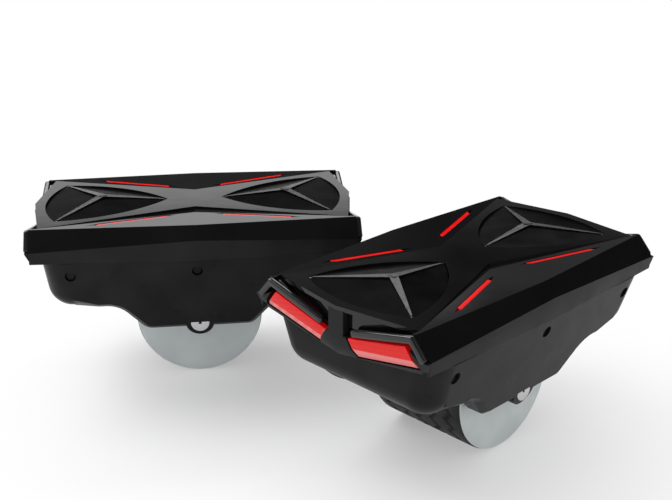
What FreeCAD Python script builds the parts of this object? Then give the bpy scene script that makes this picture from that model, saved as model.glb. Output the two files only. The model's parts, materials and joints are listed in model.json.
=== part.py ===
import FreeCAD, Part
import math
import os

# A pair of self-balancing shoes, one wheel each. Sizes are in millimetres. Each shoe is
# drawn in its own frame: x forward, y to the rider's left, z up from the floor, with the
# wheel axle above the origin. The two shoes are alike, and are placed at the end.

V = FreeCAD.Vector

# Overall size of a shoe
half_length = 155.0
deck_z = 165.5
end_half_width = 93.5
mid_half_width = 94.5

# Deck outline, band and steps
deck_edge_end_y = 78.0
deck_edge_mid_y = 84.5
band_low_z = 148.4
deck_corner_x = 143.5
deck_corner_y = 75.0
step_vertex_y = 27.1
step_depth = 3.0
top_wall = 3.5
side_wall = 2.5
end_wall_setback = 4.0

# Side trims, end pieces and lamps
trim_low_mid_z = 134.1
trim_low_end_z = 136.9
trim_low_end_x = 149.8
trim_low_end_y = 92.0
trim_wall = 4.0
hood_depth = 4.0
hood_height = 6.0
hood_inner_y = 13.0
hood_inner_z = 149.0
lamp_crease_inner_z = 134.0
lamp_crease_inner_y = 18.0
fascia_low_mid_z = 123.5
pillar_half_width = 8.0
lens_thickness = 5.0
lens_recess = 0.8
pocket_depth = 8.5
board_thickness = 0.6

# Lower shell
shell_wall = 3.0
shell_end_x = 143.0
flank_lean = 0.29
flank_top_y = 92.0
belly_z = 84.5
belly_end_x = 138.5
edge_round = 23.0
fade_start_x = 94.0
fade_end_x = 117.0
skirt_inner_y = 53.0
skirt_below_axle = 5.2
skirt_end_x = 51.0
skirt_blend_x = 76.0
skirt_sweep = 26.0
skirt_corner = 12.0
skirt_edge = 4.2
hub_bump_wall = 4.5
screw_x = (-116.0, 0.0, 117.0)
screw_z = 122.0
recess_radius = 5.0
recess_depth = 6.0
boss_side = 14.0
foot_inner_y = 13.0
foot_outer_y = 65.0
foot_height = 8.0
foot_length = 14.0
foot_end_x = 117.0

# Wheel
wheel_radius = 61.0
wheel_width = 101.0
tyre_depth = 2.6
tyre_setback = 1.0
cover_thickness = 8.0
drum_wall = 4.5
magnet_count = 12
magnet_height = 3.5
magnet_width = 20.0
stack_width = 50.0
tooth_count = 9
tooth_length = 16.0
tooth_width = 10.0
coil_side = 4.0
coil_head = 4.0
air_gap = 0.8
well_gap = 4.5
well_wall = 2.5
well_sides = 20

# Axle
axle_radius = 9.0
axle_notch = 2.6

# Chassis
plate_thickness = 4.0
leg_thickness = 11.0
leg_inner_y = 54.0
leg_collar = 1.9
leg_half_length = 19.0
chassis_half_length = 82.0

# Foot pads
pad_tip_x = 27.6
pad_corner_x = 130.0
pad_corner_y = 55.9
pad_end_x = 144.0
pad_bulge_x = 72.6
pad_bulge_y = 39.4
pad_hub_x = 90.0
pad_hub_rise = 6.5
pad_travel = 1.5
pad_edge_drop = 0.3
pad_thickness = 5.5
rib_width = 8.0
rib_tip_width = 1.6
rib_proud = 1.6

# Light strips
strip_inner = (25.5, 47.6)
strip_outer = (91.0, 69.0)
strip_width = 4.4
strip_depth = 6.0
strip_sink = 0.4
slot_inner = (17.5, 45.4)
slot_outer = (101.0, 72.2)

# Sensors under the foot pads
sensor_y = 16.0
sensor_window = 12.0
sensor_height = 6.0

# Battery at the front and controller at the rear of the tub
battery_back_x = 84.0
battery_step_x = 108.0
battery_front_x = 121.0
battery_step_z = 101.0
battery_top_z = 146.0
battery_width = 96.0
controller_x = (-130.0, -88.0)
controller_z = (112.0, 114.0)
controller_width = 90.0
sink_x = (-122.0, -96.0)
sink_top_z = 122.0
sink_width = 68.0
capacitor_x = (-112.0, -104.0)
capacitor_y = (-24.0, 0.0, 24.0)
capacitor_width = 12.0
capacitor_top_z = 136.0
board_post_x = (-108.0, -98.0)
board_post_y = (-36.0, 36.0)
post_side = 10.0

# Button, charge socket and its cap, on the left flank
port_z = 145.0
button_x = -32.0
button_width = 13.0
button_height = 9.0
button_travel = 1.0
socket_x = 32.0
socket_width = 12.0
socket_height = 8.0
socket_side = 15.0
socket_depth = 16.0
cap_side = 18.0
cap_thickness = 2.2

# Clearances
slip = 0.2
running = 0.04
press_gap = 0.5
seat_gap = 0.3
contact = 0.02

# Where the right shoe stands, from the left one
right_shoe_x = 228.5
right_shoe_y = -187.6
right_shoe_turn = 37.1

axle_z = wheel_radius
half_wheel = wheel_width / 2
skirt_low_z = axle_z - skirt_below_axle
leg_low_reach = axle_radius + leg_collar
hub_bump_radius = axle_radius + hub_bump_wall
far = 400.0


# Building blocks

def box(x0, x1, y0, y1, z0, z1):
    return Part.makeBox(x1 - x0, y1 - y0, z1 - z0, V(x0, y0, z0))


def rod_y(radius, y0, y1, x=0.0, z=axle_z):
    return Part.makeCylinder(radius, y1 - y0, V(x, y0, z), V(0, 1, 0))


def many_sided(count, apothem, y0, y1, x=0.0, z=axle_z):
    """A regular prism along y with flat sides at the given distance from its axis."""
    radius = apothem / math.cos(math.pi / count)
    angles = [(2 * k + 1) * math.pi / count for k in range(count)]
    return prism_y([(x + radius * math.sin(a), z + radius * math.cos(a)) for a in angles], y0, y1)


def tangent_points(before, corner, after, radius):
    a = (before - corner).normalize()
    b = (after - corner).normalize()
    half = a.getAngle(b) / 2
    reach = radius / math.tan(half)
    middle = (a + b).normalize()
    centre = corner + middle * (radius / math.sin(half))
    return corner + a * reach, centre - middle * radius, corner + b * reach


def outline(points, radii=None):
    """A closed wire through the points, with each corner rounded by its radius."""
    count = len(points)
    radii = radii or [0.0] * count
    starts, arcs, ends = [], [], []
    for i in range(count):
        if radii[i]:
            s, m, e = tangent_points(points[i - 1], points[i], points[(i + 1) % count], radii[i])
            arcs.append(Part.Arc(s, m, e).toShape())
        else:
            s = e = points[i]
            arcs.append(None)
        starts.append(s)
        ends.append(e)
    edges = []
    for i in range(count):
        if arcs[i]:
            edges.append(arcs[i])
        following = starts[(i + 1) % count]
        if (following - ends[i]).Length > 1e-6:
            edges.append(Part.LineSegment(ends[i], following).toShape())
    return Part.Wire(edges)


def prism_x(points, x0, x1, radii=None):
    wire = outline([V(x0, y, z) for y, z in points], radii)
    return Part.Face(wire).extrude(V(x1 - x0, 0, 0))


def prism_y(points, y0, y1, radii=None):
    wire = outline([V(x, y0, z) for x, z in points], radii)
    return Part.Face(wire).extrude(V(0, y1 - y0, 0))


def prism_z(points, z0, z1, radii=None):
    wire = outline([V(x, y, z0) for x, y in points], radii)
    return Part.Face(wire).extrude(V(0, 0, z1 - z0))


def beyond(p, q, r, away, offset=0.0):
    """The space past the plane through three points, on the side of the point away."""
    normal = (q - p).cross(r - p).normalize()
    if normal.dot(away - p) < 0:
        normal = normal * -1
    block = Part.makeBox(2 * far, 2 * far, far, V(-far, -far, 0))
    block.Placement = FreeCAD.Placement(p + normal * offset, FreeCAD.Rotation(V(0, 0, 1), normal))
    return block


def height_on(p, q, r, x, y):
    normal = (q - p).cross(r - p)
    return p.z - (normal.x * (x - p.x) + normal.y * (y - p.y)) / normal.z


def mirror_x(shape):
    return shape.mirror(V(0, 0, 0), V(1, 0, 0))


def mirror_y(shape):
    return shape.mirror(V(0, 0, 0), V(0, 1, 0))


def both_sides(shape):
    return [shape, mirror_y(shape)]


def four_corners(shape):
    pair = both_sides(shape)
    return pair + [mirror_x(s) for s in pair]


def union(shapes):
    return shapes[0].fuse(shapes[1:]).removeSplitter()


# Places that several pieces share

band_top_end = V(half_length, deck_edge_end_y, deck_z)
band_top_mid = V(0, deck_edge_mid_y, deck_z)
band_low_end = V(half_length, end_half_width, band_low_z)
band_low_mid_z = height_on(band_top_end, band_top_mid, band_low_end, 0, mid_half_width)
up = V(0, 0, far)
outside = V(0, far, far)

crease_inner = V(half_length, lamp_crease_inner_y, lamp_crease_inner_z)
low_corner = V(trim_low_end_x, trim_low_end_y, trim_low_end_z)


def band_cut(offset=0.0):
    """The four spaces outside the sloping bands."""
    return four_corners(beyond(band_top_end, band_top_mid, band_low_end, outside, offset))


def plan(inset=0.0):
    end = end_half_width - inset
    mid = mid_half_width - inset
    length = half_length - inset
    return [(length, end), (0, mid), (-length, end), (-length, -end), (0, -mid), (length, -end)]


def ridge(mid_z, end_z, y0=-far, y1=far, top=far):
    """The space above a line that runs from mid_z at the middle to end_z at the ends."""
    points = [(-half_length, end_z), (0, mid_z), (half_length, end_z)]
    points += [(half_length, top), (-half_length, top)]
    return prism_y(points, y0, y1)


def chevron_x(y, setback=0.0):
    return half_length - (half_length - deck_corner_x) * abs(y) / deck_corner_y - setback


def past_chevron(setback, z0, z1):
    """The space past the deck's two pointed ends."""
    edge = deck_corner_y + 40
    points = [(chevron_x(0, setback), 0), (chevron_x(edge, setback), edge), (far, edge)]
    points += [(far, -edge), (chevron_x(edge, setback), -edge)]
    space = prism_z(points, z0, z1)
    return [space, mirror_x(space)]


def shelf_z(y):
    """Height of the lamp hoods' top, which drops from the corner to the middle."""
    slope = (deck_z - hood_inner_z) / (deck_edge_end_y - hood_inner_y)
    return hood_inner_z + slope * (y - hood_inner_y)


def flank_y(z, inset=0.0):
    return flank_top_y - flank_lean * (trim_low_mid_z - z) - inset


def pad_outline(z, grow=0.0):
    """The leaf outline of the front pad, grown outward by a clearance."""
    tip = V(pad_tip_x - 2.2 * grow, 0, z)
    corner = V(pad_corner_x + 0.6 * grow, pad_corner_y + 1.3 * grow, z)
    end = V(pad_end_x + grow, 0, z)
    bulge = V(pad_bulge_x - 0.5 * grow, pad_bulge_y + 0.9 * grow, z)
    near_corner = V(corner.x, -corner.y, z)
    near_bulge = V(bulge.x, -bulge.y, z)
    edges = [
        Part.Arc(tip, bulge, corner).toShape(),
        Part.Arc(corner, end, near_corner).toShape(),
        Part.Arc(near_corner, near_bulge, tip).toShape(),
    ]
    return Part.Wire(edges)


def leaf(z0, z1, grow=0.0):
    return Part.Face(pad_outline(z0, grow)).extrude(V(0, 0, z1 - z0))


def many_sided_leaf(z0, z1, grow, steps=6):
    """The grown leaf with straight sides, for walls that nobody sees."""
    points = []
    for edge in pad_outline(z0, grow).Edges:
        points += [(p.x, p.y) for p in edge.discretize(steps)[:-1]]
    return prism_z(points, z0, z1)


# Deck, trims and end pieces

pad_bottom_z = deck_z - pad_edge_drop - pad_thickness
well_floor_z = pad_bottom_z - pad_travel - 0.3
well_wall_width = 2.0
fin_end_x = half_length - hood_depth


def strip_shape(inner, outer, half_width, z0, z1):
    direction = V(outer[0] - inner[0], outer[1] - inner[1], 0).normalize()
    side = V(-direction.y, direction.x, 0) * half_width
    a, b = V(inner[0], inner[1], 0), V(outer[0], outer[1], 0)
    skew = direction * half_width
    points = [a + side + skew, a - side - skew * 0.2, b - side - skew, b + side + skew]
    return prism_z([(p.x, p.y) for p in points], z0, z1)


def slot_shape(z0, z1):
    """The slot round a light strip, with its two pointed ends."""
    bar = strip_shape(strip_inner, strip_outer, strip_width / 2 + slip, z0, z1)
    inner_tip = prism_z([slot_inner, (strip_inner[0] + 3, strip_inner[1] - 1.6),
                         (strip_inner[0] + 3, strip_inner[1] + 2.6)], z0, z1)
    outer_tip = prism_z([slot_outer, (strip_outer[0] - 3, strip_outer[1] + 0.8),
                         (strip_outer[0] - 3, strip_outer[1] - 3.2)], z0, z1)
    return union([bar, inner_tip, outer_tip])


def above_lowered_side(sink=0.0):
    """The space above the deck's left lowered side, which sinks from its corners to the middle."""
    corner = V(deck_corner_x, deck_corner_y, deck_z - sink)
    other = V(-deck_corner_x, deck_corner_y, deck_z - sink)
    vertex = V(0, step_vertex_y, deck_z - step_depth - sink)
    return beyond(corner, other, vertex, up)


def deck_outer(inset=0.0, top_inset=0.0):
    """The closed form of the top cover: flat centre, lowered sides, sloping bands."""
    block = prism_z(plan(inset), trim_low_mid_z, deck_z + step_depth)
    block = block.cut(band_cut(-inset))
    side = prism_z([(0, step_vertex_y), (deck_corner_x, deck_corner_y), (far, deck_corner_y),
                    (far, far), (-far, far), (-far, deck_corner_y), (-deck_corner_x, deck_corner_y)],
                   trim_low_mid_z, far)
    lowered = side.common(above_lowered_side(top_inset))
    centre = box(-far, far, -far, far, deck_z - top_inset, far).cut(both_sides(side))
    return block.cut(both_sides(lowered) + [centre])


def screw_tab(x):
    """A tab that hangs from the deck behind a recess in the lower shell."""
    tab_y = flank_y(screw_z) - recess_depth - shell_wall
    half = boss_side / 2
    return box(x - half, x + half, tab_y - 3.2 - slip, tab_y - slip, screw_z - 6, deck_z - 2)


def make_deck():
    shell = deck_outer().common(ridge(band_low_mid_z, band_low_z))
    shell = shell.cut(past_chevron(0, band_low_z - 30, far))
    inner = deck_outer(side_wall, top_wall)
    inner = inner.cut(past_chevron(end_wall_setback + side_wall, -far, far))
    below_plate = past_chevron(end_wall_setback, -far, deck_z - top_wall)
    shell = shell.cut(below_plate + [inner])
    fins = deck_outer().cut(deck_outer(side_wall)).common(ridge(band_low_mid_z, band_low_z))
    fins = fins.common(box(-fin_end_x, fin_end_x, -far, far, 0, far))
    shell = shell.fuse(fins.cut(box(-120, 120, -far, far, 0, far)))
    wells = []
    hollows = []
    for turn in (lambda s: s, mirror_x):
        grow = well_wall_width + press_gap + 0.7
        wells.append(turn(many_sided_leaf(well_floor_z - well_wall_width, deck_z - 1, grow)))
        hollows.append(turn(leaf(well_floor_z, deck_z + 5, press_gap)))
        half, low, high = sensor_window / 2, well_floor_z - 3, well_floor_z + 1
        for y in (-sensor_y, sensor_y):
            hollows.append(turn(box(pad_hub_x - half, pad_hub_x + half, y - half, y + half, low, high)))
    tabs = []
    for x in screw_x:
        tabs += both_sides(screw_tab(x).common(deck_outer(0.5)))
    shell = shell.fuse(wells + tabs).cut(hollows)
    slots = four_corners(slot_shape(deck_z - 9, deck_z + 5))
    return shell.cut(slots).removeSplitter()


def trim_face(offset=0.0):
    """The four spaces outside the slightly leaning side trims."""
    low_mid = V(0, mid_half_width - 1.2, trim_low_mid_z)
    return four_corners(beyond(low_mid, low_corner, band_low_end, outside, offset))


def make_side_trims():
    ring = prism_z(plan(), trim_low_mid_z - 1, band_low_mid_z + 1).cut(trim_face())
    ring = ring.cut(prism_z(plan(trim_wall), 0, far))
    ring = ring.common(ridge(trim_low_mid_z, trim_low_end_z)).cut(ridge(band_low_mid_z, band_low_z))
    trim = ring.common(box(-fin_end_x + slip, fin_end_x - slip, 0, far, 0, far)).removeSplitter()
    ports = [button_form(60, 120, slip)]
    half = socket_side / 2 + slip
    ports.append(box(socket_x - half, socket_x + half, 60, 120, port_z - half, port_z + half))
    return [trim.cut(ports), mirror_y(trim)]


def lens_outline(grow=0.0):
    return [(12 - grow, 141.5 + grow), (70.5 + grow * 0.6, 155 + grow),
            (82 + grow, 140.5 - grow * 0.2), (21, 128 - grow * 0.3)]


def lamp_faces(offset=0.0):
    """The spaces outside the leaning lower faces of an end piece."""
    return both_sides(beyond(band_low_end, crease_inner, low_corner, V(far, 0, 0), offset))


def make_fascia():
    low = trim_low_end_z
    top_z = deck_z - top_wall - slip
    pillar_shelf = shelf_z(pillar_half_width) - hood_height
    side_z = band_low_z - 0.3
    half = [(pillar_half_width, top_z), (pillar_half_width, pillar_shelf),
            (deck_edge_end_y - 9, shelf_z(deck_edge_end_y - 9) - hood_height - slip),
            (end_half_width - 8.2, side_z), (end_half_width, side_z), (trim_low_end_y + 0.2, low)]
    points = half + [(0, fascia_low_mid_z)] + [(-y, z) for y, z in reversed(half)]
    block = prism_x(points, shell_end_x + 0.4, half_length - 0.5)
    block = block.cut(lamp_faces(-0.5))
    block = block.cut(trim_face())
    beside = box(0, fin_end_x, end_half_width - 9, far, 0, far)
    block = block.cut(both_sides(beside))
    wall = past_chevron(end_wall_setback - slip, band_low_z - 0.5, far)[0]
    upper = block.common(wall)
    lower = block.cut(box(0, far, -far, far, band_low_z - 0.5, far))
    block = upper.fuse(lower).removeSplitter()
    pockets = both_sides(prism_x(lens_outline(3.0), half_length - pocket_depth, far))
    return block.cut(pockets)


def make_lens():
    face_x = half_length - 0.5 - lens_recess
    body = prism_x(lens_outline(), face_x - lens_thickness, face_x)
    body = body.cut(lamp_faces(-0.5 - lens_recess))
    return body


def make_lamp_board():
    back = half_length - pocket_depth + 0.3
    return prism_x([(24, 131.5), (22, 141), (66, 151.5), (76, 141.5)], back, back + board_thickness)


def make_hood():
    """A bar over the lamp that turns down along the corner of the band."""
    top = prism_x([(hood_inner_y, shelf_z(hood_inner_y)), (deck_edge_end_y, deck_z),
                   (deck_edge_end_y - 5, shelf_z(deck_edge_end_y - 5) - hood_height + slip),
                   (hood_inner_y, shelf_z(hood_inner_y) - hood_height + slip)],
                  deck_corner_x - 10, half_length + 0.5)
    top = top.cut(beyond(V(chevron_x(0), 0, 0), V(chevron_x(deck_corner_y), deck_corner_y, 0),
                         V(chevron_x(0), 0, 10), V(0, 0, 0), 1.5 - end_wall_setback + 1.0))
    top = top.cut(beyond(band_top_end, band_top_mid, band_low_end, outside, -side_wall - slip))
    corner = prism_x([(deck_edge_end_y, deck_z), (end_half_width, band_low_z),
                      (end_half_width - 7.5, band_low_z), (deck_edge_end_y - 8, deck_z - 7.4)],
                     fin_end_x + slip, half_length + 0.5)
    corner = corner.cut(beyond(band_top_end, band_top_mid, band_low_end, outside, 0))
    return union([top, corner])


def make_strips():
    """Light guides whose tops lie just under the lowered sides of the deck."""
    bar = strip_shape(strip_inner, strip_outer, strip_width / 2, deck_z - strip_depth, deck_z + 1)
    return four_corners(bar.cut(above_lowered_side(strip_sink)))


# Lower shell

def flank_section(inset=0.0):
    top = trim_low_end_z + 1
    head, foot = flank_y(top, inset), flank_y(0, inset)
    return prism_x([(head, top), (foot, 0), (-foot, 0), (-head, top)], -far, far)


def tub_ends():
    """The tub without its skirts: leaning faces, every corner edge broadly rounded."""
    top = trim_low_end_z + 1
    points = [(shell_end_x, top), (belly_end_x, belly_z), (-belly_end_x, belly_z), (-shell_end_x, top)]
    body = prism_y(points, -100, 100).common(flank_section())
    return body.makeFillet(edge_round, [e for e in body.Edges if e.BoundBox.ZMin < top - 1])


def fade_space():
    """Where the narrow edge of the skirts fades into the broad round of the ends."""
    edge_y = flank_y(belly_z)
    half_angle = math.pi / 4 + math.atan(flank_lean) / 2
    out_y, out_z = math.cos(half_angle), -math.sin(half_angle)
    near = skirt_edge * math.cos(half_angle)
    deep = edge_round * (1 / math.sin(half_angle) - 1) + 1.0
    start = V(fade_start_x, edge_y - near * out_y, belly_z - near * out_z)
    end = V(fade_end_x, edge_y - deep * out_y, belly_z - deep * out_z)
    along = start + V(0, -out_z, out_y) * 10
    space = beyond(start, end, along, V(start.x, far, 0))
    return space.common(box(fade_start_x, far, 0, far, 0, far))


def tub_middle():
    """The tub's middle, where the flanks run down into the skirts with a narrow edge."""
    top = trim_low_end_z + 1
    half = [(fade_end_x, top), (fade_end_x, belly_z), (skirt_blend_x, belly_z), (skirt_end_x, skirt_low_z)]
    radii = [0, 0, skirt_sweep, skirt_corner]
    points = half + [(-x, z) for x, z in reversed(half)]
    body = prism_y(points, -100, 100, radii + list(reversed(radii)))
    body = body.common(flank_section())
    edges = []
    for edge in body.Edges:
        bounds = edge.BoundBox
        inside = abs(edge.CenterOfMass.x) < fade_end_x - 0.1
        if inside and bounds.YLength < 40 and bounds.ZMin < top - 1:
            edges.append(edge)
    return body.makeChamfer(skirt_edge, edges).cut(four_corners(fade_space()))


def tub_form():
    form = tub_ends().fuse(tub_middle()).removeSplitter()
    return form.cut(ridge(trim_low_mid_z, trim_low_end_z, -far, far))


def tub_hollow():
    """The space inside the tub, with plain flat corners."""
    wall = shell_wall
    end, low_end, floor = shell_end_x - wall, belly_end_x - wall, belly_z + wall
    cut = edge_round * 0.62
    low_cut = cut * 1.6
    profile = [(end, 200), (low_end + 1, floor + low_cut), (low_end - low_cut, floor)]
    points = profile + [(-x, z) for x, z in reversed(profile)]
    space = prism_y(points, -100, 100)
    side = [(flank_y(200, wall), 200), (flank_y(floor + low_cut, wall), floor + low_cut),
            (flank_y(floor, wall) - low_cut, floor)]
    space = space.common(prism_x(side + [(-y, z) for y, z in reversed(side)], -far, far))
    corner = V(end, flank_y(110, wall) - cut, 110)
    upright = beyond(corner, V(end - cut, flank_y(110, wall), 110), V(low_end, flank_y(90, wall) - cut, 90),
                     V(far, far, 110))
    return space.cut(four_corners(upright))


def strap_form(y0, y1, grow=0.0, top=axle_z + 15):
    """A block over the axle whose corners are cut off below it."""
    reach = leg_low_reach + grow
    step = reach * math.tan(math.pi / 8)
    half = [(reach, top), (reach, axle_z - step), (step, axle_z - reach)]
    return prism_y(half + [(-x, z) for x, z in reversed(half)], y0, y1)


def axle_section(radius, y0, y1):
    """The axle's end: the lower half of a round bar, with a groove for the motor lead."""
    bar = rod_y(radius, y0, y1)
    flat = box(-20, 20, y0 - 1, y1 + 1, axle_z + 1, axle_z + 20)
    return bar.cut(flat)


def make_lower_shell():
    outer = tub_form()
    bumps = both_sides(rod_y(hub_bump_radius, skirt_inner_y, 100).common(flank_section()))
    outer = outer.fuse(bumps)
    between = box(-foot_end_x, foot_end_x, -skirt_inner_y, skirt_inner_y, 0, belly_z)
    well_radius = wheel_radius + well_gap
    well = many_sided(well_sides, well_radius, -skirt_inner_y, skirt_inner_y)
    mouth_x = well_radius / math.cos(math.pi / well_sides)
    mouth = box(-mouth_x, mouth_x, -skirt_inner_y, skirt_inner_y, 0, axle_z)
    dome_y = skirt_inner_y + well_wall
    dome = many_sided(well_sides, well_radius + well_wall, -dome_y, dome_y)
    dome = dome.common(box(-far, far, -far, far, belly_z, far))
    boss_y = flank_y(screw_z) - recess_depth - shell_wall
    bosses = []
    recesses = []
    for x in screw_x:
        boss = box(x - boss_side / 2, x + boss_side / 2, boss_y, 100, screw_z - 7, screw_z + 7)
        bosses += both_sides(boss.common(flank_section(1.0)))
        recesses += both_sides(many_sided(12, recess_radius, boss_y + shell_wall, 100, x, screw_z))
    posts = []
    half, post_top = post_side / 2, axle_z + well_radius + well_wall + seat_gap
    for x in (-chassis_half_length + 8, chassis_half_length - 8):
        for y in (-40, 40):
            posts.append(box(x - half, x + half, y - half, y + half, belly_z + 1, post_top))
    shell = outer.cut([tub_hollow(), between]).fuse([dome] + bosses + posts)
    inner_y, outer_y = skirt_inner_y - well_wall - 1, leg_inner_y + leg_thickness + 1
    pocket = box(-leg_half_length - 2, leg_half_length + 2, inner_y, outer_y, skirt_low_z + shell_wall, 200)
    pocket = pocket.fuse(strap_form(inner_y, outer_y, seat_gap))
    window = axle_section(axle_radius + seat_gap, skirt_inner_y, 100)
    return shell.cut([well, mouth] + both_sides(pocket) + both_sides(window) + recesses).removeSplitter()


def make_bolts():
    """Hexagon-head bolts at the bottom of the flank recesses."""
    seat = flank_y(screw_z) - recess_depth
    bolts = []
    for x in screw_x:
        corners = [V(x + 4.3 * math.cos(a), seat + contact, screw_z + 4.3 * math.sin(a))
                   for a in [k * math.pi / 3 for k in range(6)]]
        head = Part.Face(Part.makePolygon(corners + [corners[0]])).extrude(V(0, 3.2, 0))
        bolts += both_sides(head)
    return bolts


def make_feet():
    """Rubber feet under the belly, crescent shaped when seen from behind."""
    middle = (foot_inner_y + foot_outer_y) / 2
    start, end = V(0, foot_inner_y, belly_z), V(0, foot_outer_y, belly_z)
    low = V(0, middle, belly_z - foot_height)
    wire = Part.Wire([Part.Arc(start, low, end).toShape(), Part.LineSegment(end, start).toShape()])
    foot = Part.Face(wire).extrude(V(foot_length, 0, 0)).translated(V(foot_end_x - foot_length, 0, 0))
    return four_corners(foot)


# Chassis and axle

def make_chassis():
    """The bridge over the wheel, with a leg down each side of it to the axle."""
    top = axle_z + wheel_radius + well_gap + well_wall + seat_gap
    outer_y = leg_inner_y + leg_thickness
    plate = box(-chassis_half_length, chassis_half_length, -outer_y, outer_y, top, top + plate_thickness)
    leg = box(-leg_half_length, leg_half_length, leg_inner_y, outer_y, axle_z, top + 1)
    leg = leg.fuse(strap_form(leg_inner_y, outer_y))
    leg = leg.cut(box(-7, 7, leg_inner_y - 1, outer_y + 1, axle_z + 22, top - 14))
    return union([plate] + both_sides(leg)).cut(rod_y(axle_radius + contact, -100, 100))


def make_axle():
    """A round bar with half-round ends that show in the skirts, grooved for the motor lead."""
    shoulder_y = leg_inner_y + leg_thickness + 0.6
    bar = rod_y(axle_radius, -shoulder_y, shoulder_y)
    end = axle_section(axle_radius, shoulder_y, flank_y(axle_z) - 0.4)
    notch = box(-axle_notch / 2, axle_notch / 2, shoulder_y + 1, 100, axle_z - 1.2, axle_z + 2)
    return bar.fuse(both_sides(end.cut(notch))).removeSplitter()


# Wheel

def turned(profile):
    """A ring about the axle from its (radius, y) outline."""
    points = [V(0, y, axle_z + r) for r, y in profile]
    face = Part.Face(Part.makePolygon(points + [points[0]]))
    return face.revolve(V(0, 0, axle_z), V(0, 1, 0), 360)


def wheel_seat_radius():
    return wheel_radius - tyre_depth


def make_tyre():
    edge = half_wheel - tyre_setback
    return turned([(wheel_seat_radius(), -edge), (wheel_radius, -edge), (wheel_radius, edge),
                   (wheel_seat_radius(), edge)])


def drum_apothem():
    return wheel_seat_radius() - contact - drum_wall


def axle_bore():
    return rod_y(axle_radius + running, -half_wheel - 1, half_wheel + 1)


def make_drum():
    """The rotor: a cup with a flat inside for each magnet. Its floor runs on the axle."""
    cup = rod_y(wheel_seat_radius() - contact, -half_wheel + cover_thickness + contact, half_wheel)
    hollow = many_sided(magnet_count, drum_apothem(), -half_wheel, half_wheel - cover_thickness)
    return cup.cut([hollow, axle_bore()])


def make_cover():
    """The plate that closes the rotor's open side."""
    return rod_y(wheel_seat_radius() - contact, -half_wheel, -half_wheel + cover_thickness).cut(axle_bore())


def make_magnets():
    outer = drum_apothem() - contact
    block = box(-magnet_width / 2, magnet_width / 2, -stack_width / 2, stack_width / 2,
                axle_z + outer - magnet_height, axle_z + outer)
    axis = V(0, 0, axle_z)
    return [block.rotated(axis, V(0, 1, 0), 360.0 * k / magnet_count) for k in range(magnet_count)]


def stator_radius():
    return drum_apothem() - contact - magnet_height - air_gap


def make_stator():
    """The laminated core: a ring with straight teeth, pressed on the axle."""
    tip, root, half_tooth = stator_radius(), stator_radius() - tooth_length, tooth_width / 2
    points = []
    for k in range(tooth_count):
        middle = 2 * math.pi * k / tooth_count
        for radius, side in ((root, -1), (tip, -1), (tip, 1), (root, 1)):
            angle = middle + side * math.asin(half_tooth / radius)
            points.append((radius * math.cos(angle), axle_z + radius * math.sin(angle)))
    core = prism_y(points, -stack_width / 2, stack_width / 2)
    return core.cut(rod_y(axle_radius + contact, -60, 60))


def make_windings():
    """A coil round each tooth."""
    low, high = stator_radius() - tooth_length + 1.5, stator_radius() - 2.0
    half, deep = tooth_width / 2, stack_width / 2
    wide, long = half + coil_side, deep + coil_head
    coil = box(-wide, wide, -long, long, axle_z + low, axle_z + high)
    coil = coil.cut(box(-half - 0.1, half + 0.1, -deep - 0.1, deep + 0.1, 0, 200))
    axis = V(0, 0, axle_z)
    return [coil.rotated(axis, V(0, 1, 0), 90 + 360.0 * k / tooth_count) for k in range(tooth_count)]


# Foot pads

def rib(end_x, end_y, end_z):
    """A bar from the pad's hub to one corner of the leaf, narrowing and sinking on the way."""
    hub = V(pad_hub_x, 0, deck_z + pad_hub_rise)
    end = V(end_x, end_y, end_z)
    along = V(end.x - hub.x, end.y - hub.y, 0).normalize()
    side = V(-along.y, along.x, 0)
    start = hub - along * (rib_width * 0.28)
    base = pad_bottom_z + 1
    tops = [start + side * (rib_width / 2), start - side * (rib_width / 2),
            end - side * (rib_tip_width / 2), end + side * (rib_tip_width / 2)]
    feet = [V(p.x, p.y, base) for p in tops]
    rings = [tops, feet]
    rings += [[tops[i], tops[i - 1], feet[i - 1], feet[i]] for i in range(4)]
    faces = [Part.Face(Part.makePolygon(ring + [ring[0]])) for ring in rings]
    return Part.Solid(Part.Shell(faces))


def make_front_pad():
    """Three flat facets that fall from the hub, with a rib along each edge between them."""
    edge_z = deck_z - pad_edge_drop
    hub = V(pad_hub_x, 0, deck_z + pad_hub_rise - rib_proud)
    tip = V(pad_tip_x, 0, edge_z)
    corner = V(pad_corner_x, pad_corner_y, edge_z)
    near_corner = V(pad_corner_x, -pad_corner_y, edge_z)
    facets = [beyond(hub, a, b, up) for a, b in ((tip, corner), (tip, near_corner), (corner, near_corner))]
    base = leaf(pad_bottom_z, hub.z).cut(facets)
    ribs = [rib(pad_tip_x + 3, 0, deck_z + 0.4)]
    for side in (1, -1):
        ribs.append(rib(pad_corner_x - 2, side * (pad_corner_y - 2.4), deck_z + 0.4))
    return base.fuse(ribs).removeSplitter()


def make_pad_sensors():
    """Two sensor blocks under each pad, each in a window of the deck's well."""
    top = pad_bottom_z - pad_travel - seat_gap
    half = sensor_window / 2 - seat_gap
    sensors = []
    for turn in (lambda s: s, mirror_x):
        for y in (-sensor_y, sensor_y):
            block = box(pad_hub_x - half, pad_hub_x + half, y - half, y + half, top - sensor_height, top)
            sensors.append(turn(block))
    return sensors


# Battery, controller, button and charge socket

def make_battery():
    floor = belly_z + shell_wall + seat_gap
    points = [(battery_back_x, floor), (battery_step_x, floor), (battery_front_x, battery_step_z)]
    points += [(battery_front_x, battery_top_z), (battery_back_x, battery_top_z)]
    return prism_y(points, -battery_width / 2, battery_width / 2)


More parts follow.
